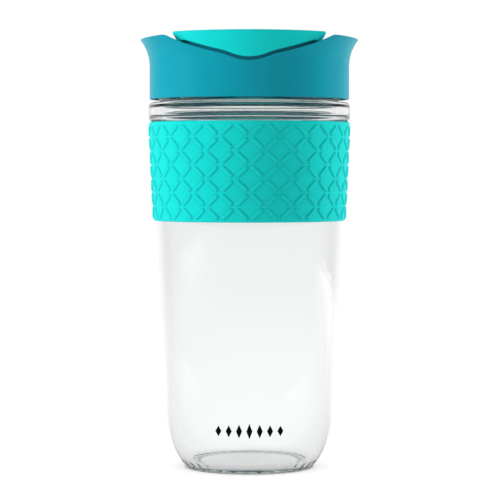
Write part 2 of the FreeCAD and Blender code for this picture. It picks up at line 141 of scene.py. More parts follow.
def round_rows(rows: list[np.ndarray], reaches: list[float], ring: bool, steps: int = 5) -> np.ndarray:
    """Join rows of points into a grid, with its corners rounded.

    A row with a reach becomes steps + 1 rows on the quadratic curve that starts and ends that far from
    it, towards the rows before and after, and has the row itself as its middle control point.

    Args:
        rows: arrays of one shape (columns, dimensions).
        reaches: for each row how far its rounding reaches, 0 for none.
        ring: whether the last row is followed by the first.
        steps: number of steps round one corner.

    Returns:
        Array of shape (rows, columns, dimensions).
    """
    share = np.linspace(0, 1, steps + 1)[:, None, None]
    grid = []
    for number, (row, reach) in enumerate(zip(rows, reaches)):
        at_an_end = not ring and number in (0, len(rows) - 1)
        if reach == 0 or at_an_end:
            grid.append(row[None])
            continue
        before = rows[number - 1] - row
        after = rows[(number + 1) % len(rows)] - row
        first = row + before * (reach / np.linalg.norm(before, axis=1, keepdims=True))
        last = row + after * (reach / np.linalg.norm(after, axis=1, keepdims=True))
        grid.append((1 - share) ** 2 * first + 2 * share * (1 - share) * row + share**2 * last)
    return np.concatenate(grid)


def rounded_outline(corners: list[tuple[float, float]], reach: float, ring: bool) -> np.ndarray:
    """The outline through some corners, each rounded over the same reach, as an array (points, 2)."""
    rows = [np.array([corner], float) for corner in corners]
    return round_rows(rows, [reach] * len(rows), ring, steps=4)[:, 0]


def turn(radius: np.ndarray, height: np.ndarray, columns: int) -> np.ndarray:
    """Turn an outline about the vertical axis: (r cos a, r sin a, z) with the angle a once round.

    Args:
        radius: radii, of shape (rows,) or (rows, columns).
        height: heights, of the same shape.
        columns: number of columns round the cup.

    Returns:
        Skin of shape (rows, columns, 3).
    """
    if radius.ndim == 1:
        radius = np.repeat(radius[:, None], columns, axis=1)
        height = np.repeat(height[:, None], columns, axis=1)
    angle = round_angles(columns)
    return np.stack((radius * np.cos(angle), radius * np.sin(angle), height), axis=-1)


def round_angles(columns: int) -> np.ndarray:
    """Evenly spaced angles once round, from +X."""
    return np.arange(columns) * (2 * math.pi / columns)


def ease(value: np.ndarray) -> np.ndarray:
    """Smooth step 3t^2 - 2t^3 of a value cut to 0..1."""
    share = np.clip(value, 0, 1)
    return share * share * (3 - 2 * share)


def screw_ridge(angle: np.ndarray, height: np.ndarray, start: float, lead: float, turns: float,
                root_width: float, crest_width: float) -> np.ndarray:
    """How much of its full height a two-start trapezoidal thread has at each place.

    Start k runs up from the angle k * 180 degrees.  Its middle is at start + lead * turn, where turn is
    the share of a revolution from there, and it fades out over the last 10 degrees at both ends.

    Args:
        angle: angle of each point, radians.
        height: height of each point.
        start: height of a ridge's middle where it begins.
        lead: rise for one revolution.
        turns: length of a ridge, in revolutions.
        root_width: width at the root.
        crest_width: width at the crest.

    Returns:
        Share of the full height, 0 to 1.
    """
    fade = 10 / 360
    share = np.zeros(np.broadcast(angle, height).shape)
    for begin in (0.0, 0.5):
        turned = (angle / (2 * math.pi) - begin) % 1.0
        away = np.abs(height - start - lead * turned)
        flank = np.clip((root_width / 2 - away) / ((root_width - crest_width) / 2), 0, 1)
        ends = ease(turned / fade) * ease((turns - turned) / fade)
        share = np.maximum(share, flank * ends)
    return share


# ---------------------------------------------------------------- meshes


class Closing(Enum):
    """How the rows of a skin end: each on one point of the axis, or the last row meets the first."""

    POLES = "poles"
    RING = "ring"


def skin_faces(shape: tuple[int, int], closing: Closing,
               leaning: np.ndarray | None = None) -> tuple[np.ndarray, list[np.ndarray]]:
    """Number the points of a skin and list its faces.

    Args:
        shape: rows and columns.
        closing: how the rows end.
        leaning: for each cell whether it is cut from its first to its third corner, or None to keep the
            cells whole.

    Returns:
        The points kept, as places in the flattened skin, and the arrays of faces.
    """
    ids = np.arange(shape[0] * shape[1]).reshape(shape)
    if closing is Closing.POLES:
        ids[0], ids[-1] = ids[0, 0], ids[-1, 0]
    kept, ids = np.unique(ids, return_inverse=True)
    ids = ids.reshape(shape)
    low = ids if closing is Closing.RING else ids[:-1]
    high = np.roll(ids, -1, axis=0) if closing is Closing.RING else ids[1:]
    cells = np.stack((low, np.roll(low, -1, axis=1), np.roll(high, -1, axis=1), high), axis=-1)
    if closing is Closing.POLES:
        first, last = cells[0][:, [0, 2, 3]], cells[-1][:, [0, 1, 2]]
        return kept, [first, cells[1:-1].reshape(-1, 4), last]
    if leaning is None:
        return kept, [cells.reshape(-1, 4)]
    one, other = cells[leaning], cells[~leaning]
    corners = [one[:, [0, 1, 2]], one[:, [0, 2, 3]], other[:, [0, 1, 3]], other[:, [1, 2, 3]]]
    return kept, [np.concatenate(corners)]


def enclosed_volume(points: np.ndarray, faces: list[np.ndarray]) -> float:
    """Signed volume inside closed faces: the sum of a . (b x c) / 6 over fans of triangles."""
    total = 0.0
    for group in faces:
        for corner in range(1, group.shape[1] - 1):
            a, b, c = (points[group[:, place]] for place in (0, corner, corner + 1))
            total += float(np.einsum("ij,ij->", a, np.cross(b, c))) / 6
    return total


def skin_mesh(name: str, skin: np.ndarray, closing: Closing, leaning: np.ndarray | None = None,
              sharp: float = SHARP_EDGE) -> bpy.types.Mesh:
    """Make a smooth closed mesh, its faces outwards, from a skin in millimetres.

    Args:
        name: name of the mesh.
        skin: points of shape (rows, columns, 3).
        closing: how the rows end.
        leaning: which cells are cut along their first diagonal, or None to keep them whole.
        sharp: angle between faces from which an edge is shaded sharp.

    Returns:
        The mesh, in metres.
    """
    kept, faces = skin_faces(skin.shape[:2], closing, leaning)
    points = skin.reshape(-1, 3)[kept] * MM
    if enclosed_volume(points, faces) < 0:
        faces = [group[:, ::-1] for group in faces]
    widths = np.concatenate([np.full(len(group), group.shape[1]) for group in faces])
    mesh = bpy.data.meshes.new(name)
    mesh.vertices.add(len(points))
    mesh.vertices.foreach_set("co", points.ravel())
    mesh.loops.add(int(widths.sum()))
    mesh.loops.foreach_set("vertex_index", np.concatenate([group.ravel() for group in faces]))
    mesh.polygons.add(len(widths))
    mesh.polygons.foreach_set("loop_start", np.cumsum(widths) - widths)
    mesh.polygons.foreach_set("use_smooth", np.ones(len(widths), bool))
    mesh.update(calc_edges=True)
    mesh.validate()
    mesh.set_sharp_from_angle(angle=sharp)
    return mesh


# ---------------------------------------------------------------- finishes


def linear(colour: str) -> tuple[float, float, float, float]:
    """An sRGB hex colour such as "1aa5b0" as linear red, green, blue and alpha."""
    shares = [int(colour[place:place + 2], 16) / 255 for place in (0, 2, 4)]
    red, green, blue = (s / 12.92 if s <= 0.04045 else ((s + 0.055) / 1.055) ** 2.4 for s in shares)
    return red, green, blue, 1.0


def add_node(tree: bpy.types.NodeTree, kind: str, settings: dict[str, object] | None = None,
             values: dict[str, object] | None = None,
             links: dict[str, bpy.types.NodeSocket] | None = None) -> bpy.types.Node:
    """Add a node to a tree.

    Args:
        tree: the tree that takes the node.
        kind: the node's type name.
        settings: its properties by name.
        values: constants for its inputs, by the input's name or place.
        links: outputs to join to its inputs, by the input's name or place.

    Returns:
        The node.
    """
    node = tree.nodes.new(kind)
    for name, value in (settings or {}).items():
        setattr(node, name, value)
    for name, value in (values or {}).items():
        node.inputs[name].default_value = value
    for name, output in (links or {}).items():
        tree.links.new(output, node.inputs[name])
    return node


def per_mm(size: float) -> float:
    """Scale of a texture on object coordinates whose features are this many millimetres wide."""
    return 1 / (size * MM)


@dataclass(frozen=True)
class Finish:
    """A finish that dresses pieces.  Each kind of finish adds its own nodes to the shader."""

    name: str

    def material(self) -> bpy.types.Material:
        """The finish as a material, made once."""
        made = bpy.data.materials.get(self.name)
        if made is None:
            made = bpy.data.materials.new(self.name)
            made.use_nodes = True
            self.dress(made.node_tree, made.node_tree.nodes["Principled BSDF"])
        return made

    def dress(self, tree: bpy.types.NodeTree, shader: bpy.types.Node) -> None:
        """Set up the shader's inputs and the nodes that feed them."""
        raise NotImplementedError


@dataclass(frozen=True)
class BlownGlass(Finish):
    """Clear soda-lime glass, blown into a polished mould: grey where it is thick, soft waves in its skin."""

    cast: str = "fcfdfd"
    thick_colour: str = "bcc0bf"
    thick_density: float = 4.5
    ior: float = 1.52
    wave_mm: float = 30.0
    wave_depth_mm: float = 0.02

    def dress(self, tree: bpy.types.NodeTree, shader: bpy.types.Node) -> None:
        """Full transmission with constants on the shader's own sockets, and a bump from one slow noise."""
        shader.inputs["Base Color"].default_value = linear(self.cast)
        shader.inputs["Roughness"].default_value = 0.0
        shader.inputs["IOR"].default_value = self.ior
        shader.inputs["Transmission Weight"].default_value = 1.0
        place = add_node(tree, "ShaderNodeTexCoord")
        wave = add_node(tree, "ShaderNodeTexNoise",
                        values={"Scale": per_mm(self.wave_mm), "Detail": 1.0},
                        links={"Vector": place.outputs["Object"]})
        bump = add_node(tree, "ShaderNodeBump", values={"Distance": self.wave_depth_mm * MM},
                        links={"Height": wave.outputs["Fac"]})
        tree.links.new(bump.outputs["Normal"], shader.inputs["Normal"])
        depth = add_node(tree, "ShaderNodeVolumeAbsorption",
                         values={"Color": linear(self.thick_colour), "Density": self.thick_density})
        tree.links.new(depth.outputs["Volume"], tree.nodes["Material Output"].inputs["Volume"])


@dataclass(frozen=True)
class MouldedPolymer(Finish):
    """A moulded rubber or plastic: its colour mottled a little by the mould's flow, over a fine grain.

    The real grain is about 0.1 mm wide and is drawn coarser so that it shows.  With a crease shade colour,
    an attribute on the mesh's points says where the colour turns to it: painted shade at the foot of each
    raised bar.
    """

    colour: str
    flow_colour: str
    roughness: float = 0.5
    specular: float = 0.4
    flow_mm: float = 14.0
    grain_mm: float = 0.5
    grain_depth_mm: float = 0.01
    roughness_spread: float = 0.06
    scatter: float = 0.0
    crease_shade_colour: str = ""

    def dress(self, tree: bpy.types.NodeTree, shader: bpy.types.Node) -> None:
        """Colour from a slow noise, roughness and bump from a fine one, the rest as constants."""
        shader.inputs["Specular IOR Level"].default_value = self.specular
        shader.inputs["Subsurface Weight"].default_value = self.scatter
        shader.inputs["Subsurface Radius"].default_value = (1.0, 1.0, 1.0)
        shader.inputs["Subsurface Scale"].default_value = 1.5 * MM
        place = add_node(tree, "ShaderNodeTexCoord")
        flow = add_node(tree, "ShaderNodeTexNoise",
                        values={"Scale": per_mm(self.flow_mm), "Detail": 2.0, "Roughness": 0.55},
                        links={"Vector": place.outputs["Object"]})
        blend = add_node(tree, "ShaderNodeMapRange",
                         values={"From Min": 0.35, "From Max": 0.65},
                         links={"Value": flow.outputs["Fac"]})
        mottle = add_node(tree, "ShaderNodeMix", settings={"data_type": "RGBA"},
                          values={6: linear(self.colour), 7: linear(self.flow_colour)},
                          links={0: blend.outputs["Result"]})
        grain = add_node(tree, "ShaderNodeTexNoise",
                         values={"Scale": per_mm(self.grain_mm), "Detail": 3.0, "Roughness": 0.6},
                         links={"Vector": place.outputs["Object"]})
        gloss = add_node(tree, "ShaderNodeMapRange",
                         values={"To Min": self.roughness - self.roughness_spread,
                                 "To Max": self.roughness + self.roughness_spread},
                         links={"Value": grain.outputs["Fac"]})
        bump = add_node(tree, "ShaderNodeBump", values={"Distance": self.grain_depth_mm * MM},
                        links={"Height": grain.outputs["Fac"]})
        colour = mottle.outputs[2]
        # Painted shade: towards the foot of each raised bar the colour turns to the darker crease shade
        # colour.
        if self.crease_shade_colour:
            crease_shade = add_node(tree, "ShaderNodeAttribute", settings={"attribute_name": "crease_shade"})
            colour = add_node(tree, "ShaderNodeMix", settings={"data_type": "RGBA"},
                              values={7: linear(self.crease_shade_colour)},
                              links={0: crease_shade.outputs["Fac"], 6: colour}).outputs[2]
        tree.links.new(colour, shader.inputs["Base Color"])
        tree.links.new(gloss.outputs["Result"], shader.inputs["Roughness"])
        tree.links.new(bump.outputs["Normal"], shader.inputs["Normal"])


CLEAR_GLASS = BlownGlass("Clear soda-lime glass, blown")
# Matt silicone rubber from a sand-blasted mould: no clear highlight.  The darker line round each raised bar
# is painted shade.
SLEEVE_SILICONE = MouldedPolymer("Matt moulded silicone, light turquoise", "10ece6", "10e7e1",
                                 roughness=0.6, specular=0.15, crease_shade_colour="0ebfbb")
# Silicone overmoulded in a polished tool: satin, its reflections broad and faint.
COLLAR_SILICONE = MouldedPolymer("Satin moulded silicone, deep teal", "04abc1", "04a7bd",
                                 roughness=0.4, specular=0.15, grain_depth_mm=0.004)
# Injection-moulded ABS, fine satin texture: finer and a little glossier than the rubber.
CAP_PLASTIC = MouldedPolymer("Satin moulded ABS, turquoise", "0ceeea", "0ceae6",
                             roughness=0.36, specular=0.15, grain_depth_mm=0.003)
# Injection-moulded polypropylene inside the lid: waxy, a bit darker than the collar.
INSERT_PLASTIC = MouldedPolymer("Moulded polypropylene, deep teal", "00a0b4", "009cb0",
                                roughness=0.42, specular=0.3)
# Unpigmented silicone of the seals: milky, because light scatters inside it.
SEAL_SILICONE = MouldedPolymer("Translucent seal silicone", "dfe5e4", "d6dddc",
                               roughness=0.4, specular=0.4, scatter=0.6)
# Fired ceramic ink: dense black with a low gloss.
CERAMIC_INK = MouldedPolymer("Black ceramic ink, screen printed", "020203", "050506",
                             roughness=0.5, specular=0.15, flow_mm=1.5, grain_mm=0.2, grain_depth_mm=0.003)


def add_piece(mesh: bpy.types.Mesh, finish: Finish, body: str, node: str) -> bpy.types.Object:
    """Put a mesh into the scene as a piece that rides on a body and stands for a node.

    Args:
        mesh: the piece's mesh.
        finish: what it is dressed in.
        body: name of the body that it moves with.
        node: the node that it replaces.

    Returns:
        The new object.
    """
    piece = bpy.data.objects.new(mesh.name, mesh)
    bpy.context.scene.collection.objects.link(piece)
    mesh.materials.append(finish.material())
    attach(piece, body)
    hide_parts(node)
    mesh.calc_loop_triangles()
    LOG.info("%s: %d triangles, %s, on %s", piece.name, len(mesh.loop_triangles), finish.name, body)
    return piece


# ---------------------------------------------------------------- the vessel


@dataclass
class GlassVessel:
    """Blown glass vessel: knurled foot ring, oval heel, tapered wall, double bead, threaded neck."""

    foot_radius: float = 26.5
    foot_inner_radius: float = 22.8
    foot_curve: float = 16.0
    push_up: float = 1.0
    push_up_draft: float = 1.2
    floor: float = 3.2
    floor_flat: float = 22.5
    floor_curve: float = 4.7
    wall: float = 3.8
    heel_low: tuple[float, float] = (29.4, 3.0)
    heel_mid: tuple[float, float] = (33.85, 12.0)
    heel_mid_curve: float = 34.0
    heel_radius: float = 36.36
    heel_height: float = 26.2
    heel_top_curve: float = 52.0
    inside_heel_low: tuple[float, float] = (26.3, 5.1)
    inside_heel_mid: tuple[float, float] = (30.24, 13.2)
    taper_top: float = 148.3
    taper_top_radius: float = 41.46
    bead_radius: float = 43.1
    bead_top: float = 156.5
    bead_round: float = 1.5
    bead_foot_curve: float = 1.7
    groove: float = 150.25
    groove_width: float = 0.8
    groove_depth: float = 0.35
    groove_curve: float = 0.9
    neck_radius: float = 38.2
    neck_fillet: float = 0.8
    mouth_radius: float = 34.8
    mouth_foot: float = 159.6
    mouth_foot_run: tuple[float, float] = (0.5, 1.5)
    mouth_foot_curve: float = 2.8
    shoulder_run: tuple[float, float] = (0.4, 1.3)
    shoulder_foot: float = 153.9
    shoulder_curve: float = 2.4
    shoulder_taper: float = 0.02
    rim: float = 168.5
    rim_round: float = 1.2
    thread_height: float = 1.5
    thread_start: float = 158.6
    thread_lead: float = 10.0
    thread_turns: float = 0.6
    thread_root: float = 2.4
    thread_crest: float = 1.2
    knurls: int = 31
    knurl_depth: float = 0.35
    columns_per_knurl: int = 12

    def outside(self) -> np.ndarray:
        """The outer outline from the middle of the push-up to the top of the rim."""
        draft_foot = self.foot_inner_radius - self.push_up_draft
        edge = 0.2
        lip = 0.15
        return trace((0, self.push_up), [
            Straight(draft_foot - 2, self.push_up, 6),
            Straight(draft_foot, self.push_up, 2),
            Straight(self.foot_inner_radius - edge, 0.25, 4),
            Curve(self.foot_inner_radius + edge, 0, 0.5, 2),
            Straight(self.foot_radius, 0, 8),
            Curve(*self.heel_low, self.foot_curve, 8),
            Curve(*self.heel_mid, self.heel_mid_curve, 12),
            Curve(self.heel_radius, self.heel_height, self.heel_top_curve, 12),
            Straight(self.taper_top_radius, self.taper_top, 12),
            Curve(self.bead_radius, self.taper_top + self.bead_round, self.bead_foot_curve, 6),
            Straight(self.bead_radius, self.groove - lip, 2),
            Curve(self.bead_radius - self.groove_depth, self.groove + self.groove_width / 2,
                  self.groove_curve, 4),
            Curve(self.bead_radius, self.groove + self.groove_width + lip, self.groove_curve, 4),
            Straight(self.bead_radius, self.bead_top - self.bead_round, 3),
            Curve(self.bead_radius - self.bead_round, self.bead_top, self.bead_round, 6),
            Straight(self.neck_radius + self.neck_fillet, self.bead_top, 4),
            Curve(self.neck_radius, self.bead_top + self.neck_fillet, -self.neck_fillet, 5),
            Straight(self.neck_radius, self.rim - self.rim_round, 34),
            Curve(self.neck_radius - self.rim_round, self.rim, self.rim_round, 7),
        ])

    def inside(self) -> np.ndarray:
        """The inner outline from the top of the rim down to the middle of the floor.

        Round the heel it runs a wall inside the outer one, so its arcs have the outer radii less the wall.
        """
        waist = self.taper_top_radius - self.wall
        return trace((self.mouth_radius + self.rim_round, self.rim), [
            Curve(self.mouth_radius, self.rim - self.rim_round, self.rim_round, 7),
            Straight(self.mouth_radius, self.mouth_foot, 5),
            Curve(self.mouth_radius + self.mouth_foot_run[0], self.mouth_foot - self.mouth_foot_run[1],
                  self.mouth_foot_curve, 4),
            Straight(waist - self.shoulder_run[0], self.shoulder_foot + self.shoulder_run[1], 6),
            Curve(waist - self.shoulder_taper, self.shoulder_foot, -self.shoulder_curve, 4),
            Straight(self.heel_radius - self.wall, self.heel_height, 12),
            Curve(*self.inside_heel_mid, self.wall - self.heel_top_curve, 12),
            Curve(*self.inside_heel_low, self.wall - self.heel_mid_curve, 8),
            Curve(self.floor_flat, self.floor, -self.floor_curve, 8),
            Straight(0, self.floor, 6),
        ])

    def skin(self) -> np.ndarray:
        """The whole skin of the glass.

        Outside the outline is turned, raised on the neck to the thread's crest, and lifted between the
        knurls by depth * (1 - cos(knurls * angle)) / 2, fading to nothing off the bearing ring.
        """
        outside, inside = self.outside(), self.inside()
        columns = self.knurls * self.columns_per_knurl
        angle = round_angles(columns)[None]
        radius = np.repeat(outside[:, :1], columns, axis=1)
        height = np.repeat(outside[:, 1:], columns, axis=1)
        ridge = screw_ridge(angle, height, self.thread_start, self.thread_lead, self.thread_turns,
                            self.thread_root, self.thread_crest)
        crest = np.maximum(radius, self.neck_radius + self.thread_height * ridge)
        radius = np.where(ridge > 0, crest, radius)
        between = (1 - np.cos(self.knurls * angle)) / 2
        fade_in, fade_out = 1.5, 1.2
        bearing = (ease((radius - self.foot_inner_radius + 1.0) / fade_in)
                   * ease((self.foot_radius + fade_out - radius) / fade_out) * (height < self.heel_low[1]))
        height = height + self.knurl_depth * between * bearing
        outer = turn(radius, height, columns)
        inner = turn(inside[:, 0], inside[:, 1], columns)
        return np.concatenate((outer, inner))

    def build(self) -> None:
        """Make the vessel and dress it and the print on it."""
        mesh = skin_mesh("glass_body", self.skin(), Closing.POLES, sharp=math.radians(60))
        add_piece(mesh, CLEAR_GLASS, "vessel", "glass_vessel")
        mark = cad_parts["printed_mark"]
        mark.data.materials.clear()
        mark.data.materials.append(CERAMIC_INK.material())
        LOG.info("printed_mark: %s", CERAMIC_INK.name)


# ---------------------------------------------------------------- the grip sleeve


@dataclass
class GripSleeve:
    """Silicone band with a lattice of raised bars, each midway between two neighbouring lattice nodes."""

    bottom: float
    top: float
    base_bottom_radius: float = 41.15
    base_slope: float = 0.0462
    skin_gap: float = 0.05
    glass_radius: float = 36.36
    glass_height: float = 26.2
    glass_slope: float = 5.1 / 122.1
    edge_round: float = 0.9
    cells_round: int = 21
    half_pitch: float = 5.85
    node_height: float = 141.6
    bar_half_run: float = 2.15
    bar_half_width: float = 1.05
    bar_crest_half_width: float = 0.7
    crease_place: float = 1.0
    crease_half_width: float = 0.3
    bar_proud: float = 0.42
    bars_end: float = 146.4
    bars_fade: float = 0.6
    middle_radius: float = 42.2
    steps_per_half: int = 16

    def relief(self, angle: np.ndarray, height: np.ndarray) -> tuple[np.ndarray, np.ndarray, np.ndarray]:
        """Height of the bars above the band, the painted shade in the crease round them, and which way each
        cell's bar leans.

        In lattice units, half a cell wide and half a pitch high, each unit square holds one bar on its
        diagonal: up to the right where the square's two numbers add to an even number, else up to the
        left.  A bar is a stadium, so its height eases off with the distance from its middle line, and
        the painted shade is the band of places at one such distance, in the crease at the bar's foot.

        Args:
            angle: angle from the front, radians, once per column.
            height: height once per row.

        Returns:
            Relief in millimetres, the share of painted crease shade and True where the bar rises with the
            angle, all (rows, columns).
        """
        across = (angle * self.cells_round / math.pi)[None]
        up = ((height - self.node_height) / self.half_pitch)[:, None]
        column, row = np.floor(across + 1e-9), np.floor(up + 1e-9)
        rising = (column + row) % 2 == 0
        p, q = across - column - 0.5, up - row - 0.5
        slant = np.where(rising, 1.0, -1.0)
        half_diagonal = math.hypot(self.half_pitch, math.pi * self.middle_radius / self.cells_round) / 2
        along, aside = np.abs(p + slant * q) * half_diagonal, np.abs(p - slant * q) * half_diagonal
        away = np.hypot(np.maximum(along - self.bar_half_run, 0), aside)
        rise = ease((self.bar_half_width - away) / (self.bar_half_width - self.bar_crest_half_width))
        ending = ease((self.bars_end - height) / self.bars_fade + 0.5)[:, None]
        # Painted shade: a thin band round the foot of each bar.
        crease_shade = ease(1 - np.abs(away - self.crease_place) / self.crease_half_width)
        return self.bar_proud * rise * ending, crease_shade * ending, rising

    def heights(self) -> np.ndarray:
        """Row heights: on the lattice's own steps, with the two edges left to the rounding."""
        step = self.half_pitch / self.steps_per_half
        low = math.ceil((self.bottom + self.edge_round - self.node_height) / step)
        high = math.floor((self.top - self.edge_round - self.node_height) / step)
        return self.node_height + step * np.arange(low, high + 1)

    def edge(self, before: tuple[float, float], corner: tuple[float, float],
             after: tuple[float, float]) -> np.ndarray:
        """The rounding of one corner of the band's section, just short of the next rows, as points (r, z)."""
        rows = [np.array([place], float) for place in (before, corner, after)]
        return round_rows(rows, [0, 0.98 * self.edge_round, 0], False, 7)[1:-1, 0]

    def build(self) -> None:
        """Make the band: relief outside, rounded edges, a plain bore that fits the glass."""
        columns = 2 * self.cells_round * self.steps_per_half
        angle = round_angles(columns)
        height = self.heights()
        relief, crease_shade, rising = self.relief(angle, height)
        base = self.base_bottom_radius + self.base_slope * (height - self.bottom)
        outside = base[:, None] + relief
        corner_high = (self.base_bottom_radius + self.base_slope * (self.top - self.bottom), self.top)
        corner_low = (self.base_bottom_radius, self.bottom)
        bore_high, bore_low = (
            np.array((self.glass_radius + self.glass_slope * (z - self.glass_height) + self.skin_gap, z))
            for z in (self.top, self.bottom))
        edge_high = self.edge((base[-1], height[-1]), corner_high, bore_high)
        edge_low = self.edge(bore_low, corner_low, (base[0], height[0]))
        bore_rows = bore_high + (bore_low - bore_high) * np.linspace(0, 1, 5)[:, None]
        plain = np.concatenate((edge_high, bore_rows, edge_low))
        radius = np.concatenate((outside, np.repeat(plain[:, :1], columns, axis=1)))
        tall = np.concatenate((np.repeat(height[:, None], columns, axis=1),
                               np.repeat(plain[:, 1:], columns, axis=1)))
        leaning = np.ones(radius.shape, bool)
        leaning[:len(height)] = rising
        skin = turn(radius, tall, columns)
        from_front = np.stack((skin[..., 1], -skin[..., 0], skin[..., 2]), axis=-1)
        mesh = skin_mesh("grip_sleeve", from_front, Closing.RING, leaning, sharp=math.pi)
        # Painted shade, per point: the share of the crease shade colour that the material mixes in.
        share = np.zeros(radius.shape)
        share[:len(height)] = crease_shade
        mesh.attributes.new("crease_shade", "FLOAT", "POINT").data.foreach_set("value", share.ravel())
        add_piece(mesh, SLEEVE_SILICONE, "sleeve", "silicone_sleeve")


# ---------------------------------------------------------------- the lid


@dataclass
class SaddleEdge:
    """The lid's top edge seen from the front: a bowl in the middle, a sweep up and a flat at the lips.

    Each place is a distance from the middle and a height above the lowest point.
    """

    low: float = 172.8
    bowl_end: tuple[float, float] = (7.2, 1.42)
    bowl_curve: float = 19.0
    brow_end: tuple[float, float] = (13.0, 3.29)
    brow_curve: float = 40.0
    sweep_end: tuple[float, float] = (28.5, 7.9)
    sweep_curve: float = 148.0
    lip_start: tuple[float, float] = (35.5, 11.2)
    lip_end: tuple[float, float] = (48.0, 10.5)
    corner_blend: float = 0.5
    table_step: float = 0.05

    def table(self) -> tuple[np.ndarray, np.ndarray]:
        """The edge as heights over x from 0 to past the lip, its corners blended by a running mean."""
        outline = trace((0, 0), [
            Curve(*self.bowl_end, self.bowl_curve, 24),
            Curve(*self.brow_end, -self.brow_curve, 16),
            Curve(*self.sweep_end, self.sweep_curve, 24),
            Straight(*self.lip_start, 4),
            Straight(*self.lip_end, 4),
        ])
        reach = self.lip_end[0]
        x = np.arange(-reach, reach, self.table_step)
        height = self.low + np.interp(np.abs(x), outline[:, 0], outline[:, 1])
        width = int(2 * self.corner_blend / self.table_step) | 1
        blended = np.convolve(height, np.ones(width) / width, "same")
        inside = (x >= 0) & (x < reach - self.corner_blend)
        return x[inside], blended[inside]

    def height(self, x: np.ndarray) -> np.ndarray:
        """Height of the edge at a distance x from the middle."""
        places, heights = self.table()
        return np.interp(np.abs(x), places, heights)


